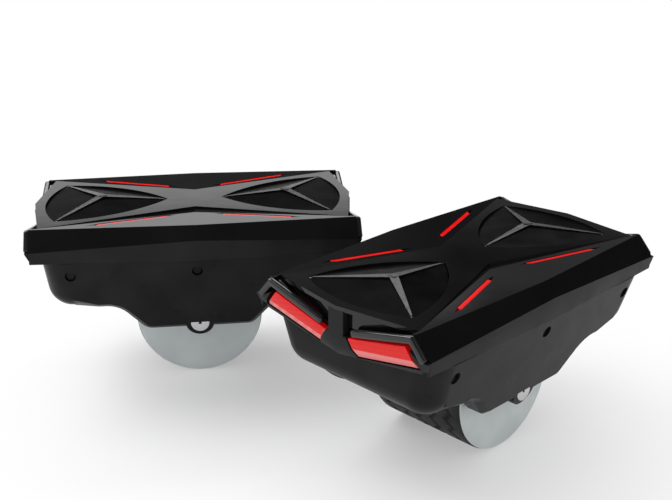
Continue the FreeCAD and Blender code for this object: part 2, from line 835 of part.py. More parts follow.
def make_controller():
    low, high = controller_z
    parts = [box(*controller_x, -controller_width / 2, controller_width / 2, low, high)]
    parts.append(box(*sink_x, -sink_width / 2, sink_width / 2, high, sink_top_z))
    half = capacitor_width / 2
    for y in capacitor_y:
        parts.append(box(*capacitor_x, y - half, y + half, sink_top_z - 1, capacitor_top_z))
    half = post_side / 2
    for y in board_post_y:
        parts.append(box(*board_post_x, y - half, y + half, belly_z + shell_wall + seat_gap, low + 1))
    return union(parts)


def port_face_y(x):
    return mid_half_width - (mid_half_width - end_half_width) * abs(x) / half_length


def button_form(y0, y1, grow=0.0):
    wide, tall, corner = button_width / 2 + grow, button_height / 2 + grow, 2.5
    half = [(wide - corner, tall), (wide, tall - corner), (wide, corner - tall), (wide - corner, -tall)]
    points = half + [(-x, z) for x, z in reversed(half)]
    return prism_y([(button_x + x, port_z + z) for x, z in points], y0, y1)


def make_button():
    y = port_face_y(button_x)
    return button_form(y - 7, y + button_travel + 0.4)


def make_socket():
    y = port_face_y(socket_x) - 0.6
    half = socket_side / 2
    body = box(socket_x - half, socket_x + half, y - socket_depth, y, port_z - half, port_z + half)
    wide, tall, floor = socket_width / 2, socket_height / 2, y - socket_depth + 3
    return body.cut(box(socket_x - wide, socket_x + wide, floor, y + 1, port_z - tall, port_z + tall))


def make_cap():
    """A flap over the socket, hung along its rounded top edge."""
    y = mid_half_width + slip
    half, round_top = cap_side / 2, cap_thickness / 2
    section = [(y, port_z - half), (y + cap_thickness, port_z - half),
               (y + cap_thickness, port_z + half + round_top), (y, port_z + half + round_top)]
    return prism_x(section, socket_x - half, socket_x + half, [0, 0, round_top, round_top])


# One shoe, then the pair

def make_shoe():
    fascia, lens, board = make_fascia(), make_lens(), make_lamp_board()
    front_pad = make_front_pad()
    strips = make_strips()
    return {
        "deck": [make_deck()],
        "side_trims": make_side_trims(),
        "front_fascia": [fascia],
        "rear_fascia": [mirror_x(fascia)],
        "lower_shell": [make_lower_shell()],
        "front_pad": [front_pad],
        "rear_pad": [mirror_x(front_pad)],
        "light_strips": strips,
        "lamp_hoods": four_corners(make_hood()),
        "front_lenses": both_sides(lens),
        "rear_lenses": [mirror_x(s) for s in both_sides(lens)],
        "lamp_boards": four_corners(board),
        "rest_feet": make_feet(),
        "shell_bolts": make_bolts(),
        "chassis": [make_chassis()],
        "axle": [make_axle()],
        "tyre": [make_tyre()],
        "rotor_drum": [make_drum()],
        "wheel_cover": [make_cover()],
        "magnets": make_magnets(),
        "stator_core": [make_stator()],
        "windings": make_windings(),
        "battery": [make_battery()],
        "controller": [make_controller()],
        "pad_sensors": make_pad_sensors(),
        "power_button": [make_button()],
        "charge_socket": [make_socket()],
        "charge_cap": [make_cap()],
    }


def place_pair(shoe):
    """The left shoe where it was drawn, the right one beside it, centred on the floor."""
    left = FreeCAD.Placement(V(0, 0, 0), FreeCAD.Rotation(V(0, 0, 1), 0))
    turned_by = FreeCAD.Rotation(V(0, 0, 1), right_shoe_turn)
    right = FreeCAD.Placement(V(right_shoe_x, right_shoe_y, 0), turned_by)
    pair = {}
    for side, placement in (("left", left), ("right", right)):
        for name, solids in shoe.items():
            moved = Part.makeCompound(solids)
            moved.Placement = placement.multiply(moved.Placement)
            pair[f"{side}_{name}"] = moved
    bounds = Part.makeCompound(list(pair.values())).optimalBoundingBox(False)
    middle = V(-(bounds.XMin + bounds.XMax) / 2, -(bounds.YMin + bounds.YMax) / 2, 0)
    for shape in pair.values():
        shape.translate(middle)
    print("left shoe axle at", [round(v, 3) for v in (middle.x, middle.y, axle_z)])
    return pair


os.makedirs("parts", exist_ok=True)
for node, shape in place_pair(make_shoe()).items():
    shape.exportStep(f"parts/{node}.step")
    print(node, len(shape.Solids), "solids, valid", shape.isValid(), round(shape.Volume / 1000, 2), "cm3")
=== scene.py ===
# %% [markdown]
# # A pair of self-balancing shoes
# Each shoe is a glossy faceted deck over a matte tub, with one wide wheel turning in the
# middle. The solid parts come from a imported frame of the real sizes. This lesson gives them
# softened edges, real-looking plastic, rubber and metal, and a plain studio to stand in.
# The frame could be redrawn by hand, but then nothing would line up with the joints, so the
# shapes are taken from the frame and only refined here.

# %% Load the frame
import json
import math

import bmesh
import bpy
from mathutils import Matrix, Vector


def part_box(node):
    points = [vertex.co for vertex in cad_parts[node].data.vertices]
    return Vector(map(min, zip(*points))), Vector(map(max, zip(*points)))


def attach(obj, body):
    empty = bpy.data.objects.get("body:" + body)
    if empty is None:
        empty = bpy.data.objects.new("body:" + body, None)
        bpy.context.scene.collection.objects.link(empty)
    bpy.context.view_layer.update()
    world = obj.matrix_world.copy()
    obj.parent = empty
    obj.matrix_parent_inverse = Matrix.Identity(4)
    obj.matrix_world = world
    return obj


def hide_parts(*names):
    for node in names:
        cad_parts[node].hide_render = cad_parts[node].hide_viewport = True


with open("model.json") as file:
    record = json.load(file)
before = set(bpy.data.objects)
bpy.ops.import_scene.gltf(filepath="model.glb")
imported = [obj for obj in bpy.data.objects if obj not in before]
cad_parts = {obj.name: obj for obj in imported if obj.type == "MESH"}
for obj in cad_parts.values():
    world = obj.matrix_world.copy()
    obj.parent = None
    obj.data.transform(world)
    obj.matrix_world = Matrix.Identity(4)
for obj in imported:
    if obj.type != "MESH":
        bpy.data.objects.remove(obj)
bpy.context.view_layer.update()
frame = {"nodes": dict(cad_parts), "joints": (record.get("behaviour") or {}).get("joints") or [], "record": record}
slot_of = {part["node"]: part["material_slot"] for part in frame["record"]["subparts"]}
print(len(frame["nodes"]), "nodes")

# %% [markdown]
# ## Where each shoe stands
# The two shoes are one design, set down twice. The wheel's joint tells where a shoe stands
# and which way its axle points. Typing the two places in again would work, but they could
# drift apart from the frame, so they are read from the joints.

# %% Read the place of each shoe
MM = 0.001
SIDES = ("left", "right")
WHEEL_JOINT = "_wheel_spin"
shoe_place = {}
for joint in frame["joints"]:
    if joint["name"].endswith(WHEEL_JOINT):
        across = Vector(joint["axis"])
        forward = across.cross(Vector((0, 0, 1)))
        turn = Matrix((forward, across, (0, 0, 1))).transposed().to_4x4()
        standing = Matrix.Translation(Vector((joint["pos_m"][0], joint["pos_m"][1], 0)))
        shoe_place[joint["name"][: -len(WHEEL_JOINT)]] = standing @ turn
for side in SIDES:
    print(side, "shoe stands at", [round(v, 4) for v in shoe_place[side].translation])

# %% [markdown]
# ## Building blocks for finishes
# Moulded plastic is never one flat colour: it has fine grain, faint blotches of gloss and
# small shifts of tone. Pictures could give that, but they stretch and repeat, so every
# finish here is made from noise that is measured in the object's own metres. A noise scale
# of 1000 gives grain about a millimetre across.

# %% Start a material
COAT_ROUGHNESS = 0.05


def shader_of(material):
    return material.node_tree.nodes["Principled BSDF"]


def finish(name, colour, roughness, metal=0.0, coat=0.0, level=0.5):
    material = bpy.data.materials.new(name)
    material.use_nodes = True
    shader = shader_of(material)
    shader.inputs["Base Color"].default_value = (*colour, 1)
    shader.inputs["Roughness"].default_value = roughness
    shader.inputs["Metallic"].default_value = metal
    shader.inputs["Coat Weight"].default_value = coat
    shader.inputs["Coat Roughness"].default_value = COAT_ROUGHNESS
    shader.inputs["Specular IOR Level"].default_value = level
    material.diffuse_color = (*colour, 1)
    return material


print("a clear coat, where there is one, has roughness", COAT_ROUGHNESS)


# %% Add nodes and join them
def add(material, kind, **settings):
    node = material.node_tree.nodes.new("ShaderNode" + kind)
    for key, value in settings.items():
        setattr(node, key, value)
    return node


def wire(material, start, end):
    material.node_tree.links.new(start, end)


def set_range(node, from_min, from_max, to_min, to_max):
    node.inputs["From Min"].default_value = from_min
    node.inputs["From Max"].default_value = from_max
    node.inputs["To Min"].default_value = to_min
    node.inputs["To Max"].default_value = to_max


print("nodes are made and joined by", add.__name__, wire.__name__, set_range.__name__)

# %% Noise that stays on the object
NOISE_LOW, NOISE_HIGH = 0.3, 0.7


def noise(material, scale, detail=4.0, stretch=(1, 1, 1)):
    place = add(material, "TexCoord")
    mapping = add(material, "Mapping")
    mapping.inputs["Scale"].default_value = stretch
    texture = add(material, "TexNoise")
    texture.inputs["Scale"].default_value = scale
    texture.inputs["Detail"].default_value = detail
    wire(material, place.outputs["Object"], mapping.inputs["Vector"])
    wire(material, mapping.outputs["Vector"], texture.inputs["Vector"])
    return texture.outputs["Fac"]


def vary_roughness(material, low, high, scale):
    spread = add(material, "MapRange")
    set_range(spread, NOISE_LOW, NOISE_HIGH, low, high)
    wire(material, noise(material, scale, detail=6.0), spread.inputs["Value"])
    wire(material, spread.outputs["Result"], shader_of(material).inputs["Roughness"])


print("noise mostly lies between", NOISE_LOW, "and", NOISE_HIGH)

# %% Drifting colour and small bumps
DARK_STOP, LIGHT_STOP = 0.35, 0.68


def vary_colour(material, dark, light, scale=None, source=None):
    """Drift between two colours, by noise of this scale or by another source."""
    ramp = add(material, "ValToRGB")
    for stop, place, colour in zip(ramp.color_ramp.elements, (DARK_STOP, LIGHT_STOP), (dark, light)):
        stop.position = place
        stop.color = (*colour, 1)
    wire(material, source or noise(material, scale), ramp.inputs["Fac"])
    wire(material, ramp.outputs["Color"], shader_of(material).inputs["Base Color"])


def bump(material, heights, depth):
    """Raise the surface by up to depth, in mm, on top of the bumps it already has."""
    node = add(material, "Bump")
    node.inputs["Distance"].default_value = depth * MM
    node.inputs["Strength"].default_value = 1.0
    wire(material, heights, node.inputs["Height"])
    before = shader_of(material).inputs["Normal"]
    if before.links:
        wire(material, before.links[0].from_socket, node.inputs["Normal"])
    wire(material, node.outputs["Normal"], before)


print("colours drift between noise", DARK_STOP, "and", LIGHT_STOP)

# %% [markdown]
# ## Glossy black for the deck
# The deck is hard plastic with a clear, deep gloss, like a piano lid. Seen close it has the
# faint waviness of a moulded panel and very fine handling marks. A mirror-smooth black looks
# like glass, so a slow wave and a little change in gloss are laid over it.

# %% Glossy black
gloss_black = finish("gloss_black", (0.006, 0.006, 0.007), roughness=0.06, level=0.42)
vary_colour(gloss_black, dark=(0.005, 0.005, 0.0055), light=(0.008, 0.008, 0.0085), scale=14)
vary_roughness(gloss_black, low=0.05, high=0.10, scale=22)
bump(gloss_black, noise(gloss_black, scale=26, detail=2.0), depth=0.06)
bump(gloss_black, noise(gloss_black, scale=1400, detail=2.0, stretch=(1, 0.12, 1)), depth=0.004)
print("gloss black has", len(gloss_black.node_tree.nodes), "nodes")

# %% [markdown]
# ## A greyer black for the bars over the lamps: painted sheen
# The rounded bars over the lamps are the deck's kind of plastic, a little less sharp in gloss.
# Their colour is a shade greyer than the deck's black: a painted sheen for the grey highlight on
# their tops, and so they stand out from the dark gap round them. They could share the deck's
# black, but then the lamps would look as if they had no frame.

# %% Grey-black for the bars, a painted sheen
# The bars' greyer colour is painted sheen, a lit copy of the deck's black.
bar_painted_sheen = finish("bar_painted_sheen", (0.014, 0.014, 0.015), roughness=0.12, level=0.5)
vary_colour(bar_painted_sheen, dark=(0.012, 0.012, 0.013), light=(0.018, 0.018, 0.019), scale=20)
vary_roughness(bar_painted_sheen, low=0.10, high=0.18, scale=30)
bump(bar_painted_sheen, noise(bar_painted_sheen, scale=40, detail=2.0), depth=0.1)
print("hood grey has", len(bar_painted_sheen.node_tree.nodes), "nodes")

# %% [markdown]
# ## Matte black for the trims, end pieces and tub
# The trim band and the tub are moulded in a tool with a fine spark texture, so they stay
# soft in the light. The tub is a shade more satin than the trims. Grain could be modelled,
# but at a tenth of a millimetre a bump is cheaper and looks the same.

# %% Matte black and the tub's satin black
COARSE_SHARE = 0.6


def grained_black(name, dark, light, low, high, grain, level):
    """A black with fine grain, grain mm deep, over a coarser and shallower one."""
    material = finish(name, dark, roughness=low, level=level)
    vary_colour(material, dark, light, scale=30)
    vary_roughness(material, low, high, scale=60)
    bump(material, noise(material, scale=2600, detail=3.0), grain)
    bump(material, noise(material, scale=420, detail=2.0), grain * COARSE_SHARE)
    return material


matte_black = grained_black("matte_black", dark=(0.011, 0.011, 0.012), light=(0.018, 0.018, 0.019),
                            low=0.38, high=0.50, grain=0.03, level=0.14)
shell_plastic = grained_black("shell_plastic", dark=(0.013, 0.013, 0.014), light=(0.020, 0.020, 0.021),
                              low=0.26, high=0.38, grain=0.02, level=0.07)
print("grained blacks:", matte_black.name, shell_plastic.name)

# %% [markdown]
# ## The foot pads' two tones
# A pad has three dark facets and three lighter grey ribs that rise to its hub. They are one
# moulding on the real pad, finished twice. Two pieces could be laid together, but two
# materials on one mesh keep the piece whole. In the photograph the facets mirror nothing but
# the dark of the room, so they get hardly any reflection and stay black here too, and the
# ribs get the light look of worn soft plastic.

# %% Pad facets and pad ribs
pad_plastic = finish("pad_plastic", (0.004, 0.004, 0.004), roughness=0.2, level=0.004)
vary_colour(pad_plastic, dark=(0.003, 0.003, 0.003), light=(0.006, 0.006, 0.006), scale=40)
vary_roughness(pad_plastic, low=0.18, high=0.30, scale=55)
bump(pad_plastic, noise(pad_plastic, scale=900, detail=2.0), depth=0.01)
pad_rib = finish("pad_rib", (0.05, 0.05, 0.052), roughness=0.34, level=0.5)
vary_colour(pad_rib, dark=(0.040, 0.040, 0.042), light=(0.065, 0.065, 0.068), scale=120)
vary_roughness(pad_rib, low=0.28, high=0.44, scale=160)
bump(pad_rib, noise(pad_rib, scale=3000, detail=2.0), depth=0.01)
print("pad finishes:", pad_plastic.name, pad_rib.name)

# %% [markdown]
# ## Red lamps, clear lamps and light strips
# The red lamps and strips are solid acrylic lit from a board behind them, so they hold their
# colour in the shade, and the clear lamps are the same in white. Real light passing through
# would be slow and noisy to compute. A glossy colour with a weak glow of its own gives the
# same look from every side. Fine flutes inside the lens are drawn with a wave, as bumps and as
# colour that is darker in their hollows, which is painted shade. The lens folds forward along
# its lower edge, and that lip gets a paler finish of its own: a painted reflection of the white
# floor, which its down-looking faces would mirror.

# %% Lamp finishes
FLUTE_SCALE, FLUTE_SWAY = 160, 0.6


def lamp_finish(name, dark, light, glow, strength):
    material = finish(name, light, roughness=0.16, level=0.3)
    shader = shader_of(material)
    flutes = add(material, "TexWave", wave_type="BANDS", bands_direction="DIAGONAL")
    flutes.inputs["Scale"].default_value = FLUTE_SCALE
    flutes.inputs["Distortion"].default_value = FLUTE_SWAY
    wire(material, add(material, "TexCoord").outputs["Object"], flutes.inputs["Vector"])
    # The colour follows the flutes and is darker in their hollows: painted shade over the bumps.
    vary_colour(material, dark, light, source=flutes.outputs["Fac"])
    vary_roughness(material, low=0.10, high=0.20, scale=90)
    bump(material, flutes.outputs["Fac"], depth=0.02)
    shader.inputs["Emission Color"].default_value = (*glow, 1)
    shader.inputs["Emission Strength"].default_value = strength
    return material


red_lens = lamp_finish("red_lens", dark=(0.64, 0.003, 0.003), light=(0.70, 0.005, 0.005),
                       glow=(0.9, 0.006, 0.006), strength=0.16)
clear_lens = lamp_finish("clear_lens", dark=(0.62, 0.64, 0.67), light=(0.80, 0.82, 0.85),
                         glow=(0.9, 0.95, 1.0), strength=0.10)
# The lips' paler colours are a painted reflection of the white floor below them.
red_lip_painted_reflection = lamp_finish("red_lip_painted_reflection", dark=(0.72, 0.16, 0.15), light=(0.80, 0.22, 0.21),
                      glow=(0.9, 0.2, 0.2), strength=0.08)
clear_lip_painted_reflection = lamp_finish("clear_lip_painted_reflection", dark=(0.74, 0.76, 0.78), light=(0.84, 0.86, 0.88),
                        glow=(0.9, 0.95, 1.0), strength=0.08)
print("lamp finishes:", red_lens.name, red_lip_painted_reflection.name, clear_lens.name, clear_lip_painted_reflection.name)

# %% [markdown]
# ## Metals
# The wheel's end discs are satin aluminium with a cool grey cast. The axle is bright steel,
# the bolts are a near-black steel, and the bridge inside is plain aluminium. Metal that is
# perfectly even looks like paint, so its tone and its gloss both drift a little, and a very
# fine grain breaks up the reflections. The discs are made only a quarter metallic: pure metal
# would mirror the dark side of the room, and the real discs stay pale and even.

# %% Turned metals
DISC_METAL = 0.25


def turned_metal(name, dark, light, low, high, metal=1.0):
    material = finish(name, light, roughness=low, metal=metal)
    vary_colour(material, dark, light, scale=30)
    vary_roughness(material, low, high, scale=45)
    bump(material, noise(material, scale=700, detail=3.0), depth=0.012)
    return material


aluminium_satin = turned_metal("aluminium_satin", dark=(0.61, 0.655, 0.66), light=(0.70, 0.745, 0.75),
                               low=0.42, high=0.54, metal=DISC_METAL)
aluminium = turned_metal("aluminium", dark=(0.58, 0.59, 0.60), light=(0.72, 0.73, 0.74), low=0.30, high=0.45)
steel = turned_metal("steel", dark=(0.46, 0.465, 0.47), light=(0.62, 0.625, 0.63), low=0.24, high=0.38)
black_steel = turned_metal("black_steel", dark=(0.010, 0.010, 0.011), light=(0.022, 0.022, 0.023),
                           low=0.35, high=0.50)
iron = turned_metal("iron", dark=(0.14, 0.14, 0.15), light=(0.24, 0.24, 0.25), low=0.40, high=0.60)
magnet = turned_metal("magnet", dark=(0.50, 0.51, 0.52), light=(0.62, 0.63, 0.64), low=0.12, high=0.22)
print("metals:", aluminium_satin.name, aluminium.name, steel.name, black_steel.name, iron.name, magnet.name)

# %% [markdown]
# ## Rubber
# The tyre and the feet are black rubber: almost no gloss, a dusty bloom that drifts at random
# and a fine pitted skin. They could have a recipe each, but the rubber is the same, so one
# recipe serves both, a little greyer on the tyre where it has rolled on the floor.

# %% Tyre and foot rubber
def rubber(name, dark, light, pit):
    material = finish(name, dark, roughness=0.7, level=0.3)
    vary_colour(material, dark, light, scale=55)
    vary_roughness(material, low=0.55, high=0.75, scale=70)
    bump(material, noise(material, scale=1500), pit)
    return material


tyre_rubber = rubber("tyre", dark=(0.016, 0.016, 0.017), light=(0.032, 0.032, 0.034), pit=0.05)
foot_rubber = rubber("foot_rubber", dark=(0.010, 0.010, 0.011), light=(0.022, 0.022, 0.023), pit=0.04)
print("rubbers:", tyre_rubber.name, foot_rubber.name)

# %% [markdown]
# ## What is inside
# Under the covers are the motor's copper coils, a battery in shrink wrap and the boards. Few
# people see them, but a part may be opened or cut away, so plain colours won't do. They get
# honest finishes too: wire turns on the coils, with painted shade darkening the grooves between
# the turns, a solder-mask green on the boards and a slightly wrinkled blue wrap.

# %% Copper wire
WIRE_SCALE = 420
copper = finish("copper", (0.60, 0.24, 0.11), roughness=0.32, metal=0.8)
turns = add(copper, "TexWave", wave_type="BANDS", bands_direction="Z")
turns.inputs["Scale"].default_value = WIRE_SCALE
wire(copper, add(copper, "TexCoord").outputs["Object"], turns.inputs["Vector"])
# Darker in the grooves between the turns: painted shade, on top of the bump.
vary_colour(copper, dark=(0.42, 0.15, 0.07), light=(0.72, 0.32, 0.15), source=turns.outputs["Fac"])
bump(copper, turns.outputs["Fac"], depth=0.2)
print("coils:", copper.name)

# %% Boards and battery wrap
circuit_board = finish("circuit_board", (0.02, 0.16, 0.07), roughness=0.35)
vary_colour(circuit_board, dark=(0.012, 0.11, 0.045), light=(0.03, 0.20, 0.09), scale=260)
vary_roughness(circuit_board, low=0.25, high=0.45, scale=120)
battery_wrap = finish("battery_wrap", (0.03, 0.09, 0.28), roughness=0.22, coat=0.3)
vary_colour(battery_wrap, dark=(0.025, 0.075, 0.24), light=(0.045, 0.12, 0.34), scale=18)
bump(battery_wrap, noise(battery_wrap, scale=45, detail=3.0, stretch=(1, 0.3, 1)), depth=0.3)
print("boards and battery:", circuit_board.name, battery_wrap.name)

# %% [markdown]
# ## Give every part its finish
# Each part of the frame names the kind of surface it has. The finishes could be given one
# part at a time, but going through that list once means that no part is forgotten, and a
# part that is softened later takes its finish from the same list.

# %% Hand out the finishes
FINISHES = {
    "gloss_black": gloss_black, "matte_black": matte_black, "shell_plastic": shell_plastic,
    "pad_plastic": pad_plastic, "red_lens": red_lens, "clear_lens": clear_lens,
    "circuit_board": circuit_board, "foot_rubber": foot_rubber, "steel": steel,
    "aluminium": aluminium, "aluminium_satin": aluminium_satin, "tyre": tyre_rubber,
    "iron": iron, "magnet": magnet, "copper": copper, "battery_wrap": battery_wrap,
}
for name, part in frame["nodes"].items():
    part.data.materials.clear()
    part.data.materials.append(FINISHES[slot_of[name]])
print("finished", len(frame["nodes"]), "parts with", len(set(slot_of.values())), "finishes")

# %% [markdown]
# ## Soft edges
# A moulded or machined edge is never a knife edge: it has a radius of half a millimetre or
# more, and that radius is what catches the light. The frame's parts have true but sharp
# edges. A rounded-normal trick in the shader only fakes this, so each visible part is copied,
# its flat faces are joined up again, and its sharp edges get a narrow round.

# %% Join the flat faces and round the edges
JOIN_DISTANCE = 0.002 * MM
FLAT_ANGLE, EDGE_ANGLE = math.radians(0.4), math.radians(30)
EDGE_STEPS, MOST_CORNERS = 2, 4


def split_big_faces(work):
    bmesh.ops.triangulate(work, faces=[f for f in work.faces if len(f.verts) > MOST_CORNERS])


def round_edges(work, edges, width, steps):
    bmesh.ops.bevel(work, geom=edges, offset=width, segments=steps, profile=0.5, affect="EDGES",
                    clamp_overlap=True, offset_type="OFFSET")
    split_big_faces(work)


def rounded_mesh(node, width):
    work = bmesh.new()
    work.from_mesh(frame["nodes"][node].data)
    bmesh.ops.remove_doubles(work, verts=work.verts, dist=JOIN_DISTANCE)
    bmesh.ops.dissolve_degenerate(work, edges=work.edges, dist=JOIN_DISTANCE)
    bmesh.ops.dissolve_limit(work, angle_limit=FLAT_ANGLE, verts=work.verts, edges=work.edges)
    edges = [e for e in work.edges if len(e.link_faces) == 2 and e.calc_face_angle(0) > EDGE_ANGLE]
    round_edges(work, edges, width, EDGE_STEPS)
    mesh = bpy.data.meshes.new(node + "_soft")
    work.to_mesh(mesh)
    work.free()
    return mesh


print("edges over", round(math.degrees(EDGE_ANGLE)), "degrees are rounded in", EDGE_STEPS, "steps")

# %% Let a piece stand for a part
SMOOTH_ANGLE = math.radians(40)


def body_of_node(node):
    for body, members in frame["record"]["behaviour"]["bodies"].items():
        if node in members:
            return body
    return None


def smooth(piece):
    for polygon in piece.data.polygons:
        polygon.use_smooth = True
    piece.data.set_sharp_from_angle(angle=SMOOTH_ANGLE)
    weighted = piece.modifiers.new("even_light", "WEIGHTED_NORMAL")
    weighted.keep_sharp = True
    weighted.weight = 100


def stand_for(node, mesh, name):
    piece = bpy.data.objects.new(name, mesh)
    bpy.context.scene.collection.objects.link(piece)
    mesh.materials.append(FINISHES[slot_of[node]])
    smooth(piece)
    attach(piece, body_of_node(node))
    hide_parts(node)
    return piece


print("the left deck is on the body", body_of_node("left_deck"))

# %% Soften the parts that show
EDGE_WIDTHS = {  # in mm
    "deck": 0.8, "side_trims": 0.5, "front_fascia": 0.6, "rear_fascia": 0.6, "lower_shell": 0.7,
    "lamp_hoods": 0.4, "front_lenses": 0.6, "rear_lenses": 0.6, "light_strips": 0.4, "rest_feet": 1.0,
    "front_pad": 0.35, "rear_pad": 0.35, "power_button": 0.6, "charge_cap": 0.4, "wheel_cover": 0.6,
    "rotor_drum": 0.6, "axle": 0.4, "charge_socket": 0.3, "shell_bolts": 0.3,
}


def outside_box(node, piece):
    """How far a piece reaches out of the box of the part that it stands for, in mm."""
    low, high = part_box(node)
    points = [vertex.co for vertex in piece.data.vertices]
    return max(max(low[i] - p[i], p[i] - high[i], 0.0) for p in points for i in range(3)) / MM


soft = {}
for side in SIDES:
    for part, width in EDGE_WIDTHS.items():
        node = f"{side}_{part}"
        soft[node] = stand_for(node, rounded_mesh(node, width * MM), node + "_shown")
        beyond = round(outside_box(node, soft[node]), 3)
        print(node, len(soft[node].data.polygons), "faces, outside its box by", beyond, "mm")

# %% [markdown]
# ## The bars over the lamps
# Over each lamp lies a rounded glossy bar that turns down past the lamp's outer end, with a
# shelf behind it that looks darker: it lies lower, and the bar's greyer black is a painted
# sheen. The frame has both as one plain shape. Rounding that shape alone gives a thin plate,
# so the shelf is cut back and lowered, and the bar is drawn as an outline, given its depth,
# and rounded until its edges carry a long highlight.

# %% Draw the outline of a bar
BAR_PATH = ((16.0, 146.8), (76.3, 161.9), (89.1, 147.6))  # across and up from the shoe's middle, in mm
BAR_HALF_HEIGHT = 3.1


def bar_outline():
    inner, corner, outer = (Vector(point) for point in BAR_PATH)
    first, second = (corner - inner).normalized(), (outer - corner).normalized()
    up_first, up_second = Vector((-first.y, first.x)), Vector((-second.y, second.x))
    mitre = (up_first + up_second) / (1 + up_first.dot(up_second))
    stations = ((inner, up_first), (corner, mitre), (outer, up_second))
    lower = [point - up * BAR_HALF_HEIGHT for point, up in stations]
    upper = [point + up * BAR_HALF_HEIGHT for point, up in stations]
    return lower + upper[::-1]


print("bar outline", [tuple(round(v, 1) for v in point) for point in bar_outline()])

# %% Give the bars their depth and round them
BAR_BACK, BAR_FRONT = 149.6, 155.5
BAR_ROUND, BAR_STEPS = 2.3, 5


def draw_bar(work, end, flank):
    outline = bar_outline()
    back = [work.verts.new((end * BAR_BACK * MM, flank * y * MM, z * MM)) for y, z in outline]
    front = [work.verts.new((end * BAR_FRONT * MM, flank * y * MM, z * MM)) for y, z in outline]
    work.faces.new(back)
    work.faces.new(front[::-1])
    for i in range(len(outline)):
        j = (i + 1) % len(outline)
        work.faces.new((back[j], back[i], front[i], front[j]))


def bars_mesh(name):
    work = bmesh.new()
    for end in (1, -1):
        for flank in (1, -1):
            draw_bar(work, end, flank)
    bmesh.ops.recalc_face_normals(work, faces=work.faces)
    round_edges(work, work.edges[:], BAR_ROUND * MM, BAR_STEPS)
    for face in work.faces:
        face.material_index = 1
    mesh = bpy.data.meshes.new(name)
    work.to_mesh(mesh)
    work.free()
    return mesh


print("a bar is", round(BAR_FRONT - BAR_BACK, 1), "mm deep and", 2 * BAR_HALF_HEIGHT, "mm high")

# %% Lay the bars over the shelves
SHELF_END, SHELF_DROP = 150.9, 1.8


def cut_shelves(work):
    """Cut both ends of the shelves back to where the bars begin, and close the cuts."""
    for end in (1, -1):
        cut = bmesh.ops.bisect_plane(work, geom=work.verts[:] + work.edges[:] + work.faces[:],
                                     plane_co=(end * SHELF_END * MM, 0, 0), plane_no=(end, 0, 0),
                                     clear_outer=True)
        rim = [e for e in cut["geom_cut"] if isinstance(e, bmesh.types.BMEdge)]
        bmesh.ops.holes_fill(work, edges=rim)


for side in SIDES:
    hoods = soft[side + "_lamp_hoods"]
    bars = bars_mesh(side + "_lamp_bars")
    work = bmesh.new()
    work.from_mesh(hoods.data)
    work.transform(shoe_place[side].inverted())
    cut_shelves(work)
    bmesh.ops.translate(work, verts=work.verts, vec=(0, 0, -SHELF_DROP * MM))
    work.from_mesh(bars)
    split_big_faces(work)
    work.transform(shoe_place[side])
    work.to_mesh(hoods.data)
    work.free()
    bpy.data.meshes.remove(bars)
    # The bars take the greyer black, a painted sheen; the shelves keep the deck's black.
    hoods.data.materials.append(bar_painted_sheen)
    hoods.modifiers.clear()
    smooth(hoods)
    print(hoods.name, len(hoods.data.polygons), "faces")

# %% [markdown]
# ## Ribs on the foot pads
# The ribs are part of the pad's moulding but lighter than its facets. A separate rib mesh
# would leave a seam to hide, so the faces that lie on a rib are picked by how near they are
# to its centre line, and given the second material.

# %% Tell a rib from a facet
PAD_HUB_X, PAD_TIP_X, PAD_CORNER = 90.0, 27.6, (130.0, 55.9)
RIB_HUB_HALF, RIB_END_HALF, RIB_MARGIN = 4.0, 0.8, 0.1
RIB_START, RIB_FINISH = -0.06, 1.0


def on_rib(point, facing):
    hub = Vector((facing * PAD_HUB_X, 0))
    for end in ((PAD_TIP_X, 0), PAD_CORNER, (PAD_CORNER[0], -PAD_CORNER[1])):
        line = Vector((facing * end[0], end[1])) - hub
        offset = Vector(point[:2]) - hub
        along = offset.dot(line) / line.length_squared
        beside = abs(offset.x * line.y - offset.y * line.x) / line.length
        half = RIB_HUB_HALF + (RIB_END_HALF - RIB_HUB_HALF) * max(0, along)
        if RIB_START < along < RIB_FINISH and beside < half + RIB_MARGIN:
            return True
    return False


print("a rib is", 2 * RIB_HUB_HALF, "mm wide at the hub and", 2 * RIB_END_HALF, "mm at its end")

# %% Pick the rib faces
PAD_TOP_Z, FACES_UP = 163, 0.1
for side in SIDES:
    back_to_shoe = shoe_place[side].inverted()
    for part, facing in (("front_pad", 1), ("rear_pad", -1)):
        mesh = soft[f"{side}_{part}"].data
        mesh.materials.append(pad_rib)
        count = 0
        for polygon in mesh.polygons:
            centre = (back_to_shoe @ polygon.center) / MM
            if centre.z > PAD_TOP_Z and polygon.normal.z > FACES_UP and on_rib(centre, facing):
                polygon.material_index = 1
                count += 1
        print(side, part, count, "rib faces")

# %% [markdown]
# ## The pale lip of each lamp, a painted reflection, and the black bolts
# The lens is one solid with a fold near its lower edge. The lip could be cut off as a piece
# of its own, but the faces below the fold look down a little, so they can be told from the
# rest by the direction they face, and their paler finish is a painted reflection of the white
# floor. The bolts in the tub are a near-black steel, and not bright like the axle, although
# the frame calls both steel.

# %% Pick the lip faces and blacken the bolts
DOWN_MOST, DOWN_LEAST = -0.9, -0.12
for side in SIDES:
    back_to_shoe = shoe_place[side].inverted().to_3x3()
    # lip is the paler finish for the down-looking faces: a painted reflection of the floor.
    for part, lip in (("front_lenses", clear_lip_painted_reflection), ("rear_lenses", red_lip_painted_reflection)):
        mesh = soft[f"{side}_{part}"].data
        mesh.materials.append(lip)
        painted_reflection_faces = [p for p in mesh.polygons
                     if DOWN_MOST < (back_to_shoe @ p.normal).z < DOWN_LEAST]
        for polygon in painted_reflection_faces:
            polygon.material_index = 1
        print(side, part, len(painted_reflection_faces), "lip faces")
    bolts = soft[side + "_shell_bolts"]
    # The bolts get a near-black steel, darker than the axle.
    bolts.data.materials[0] = black_steel

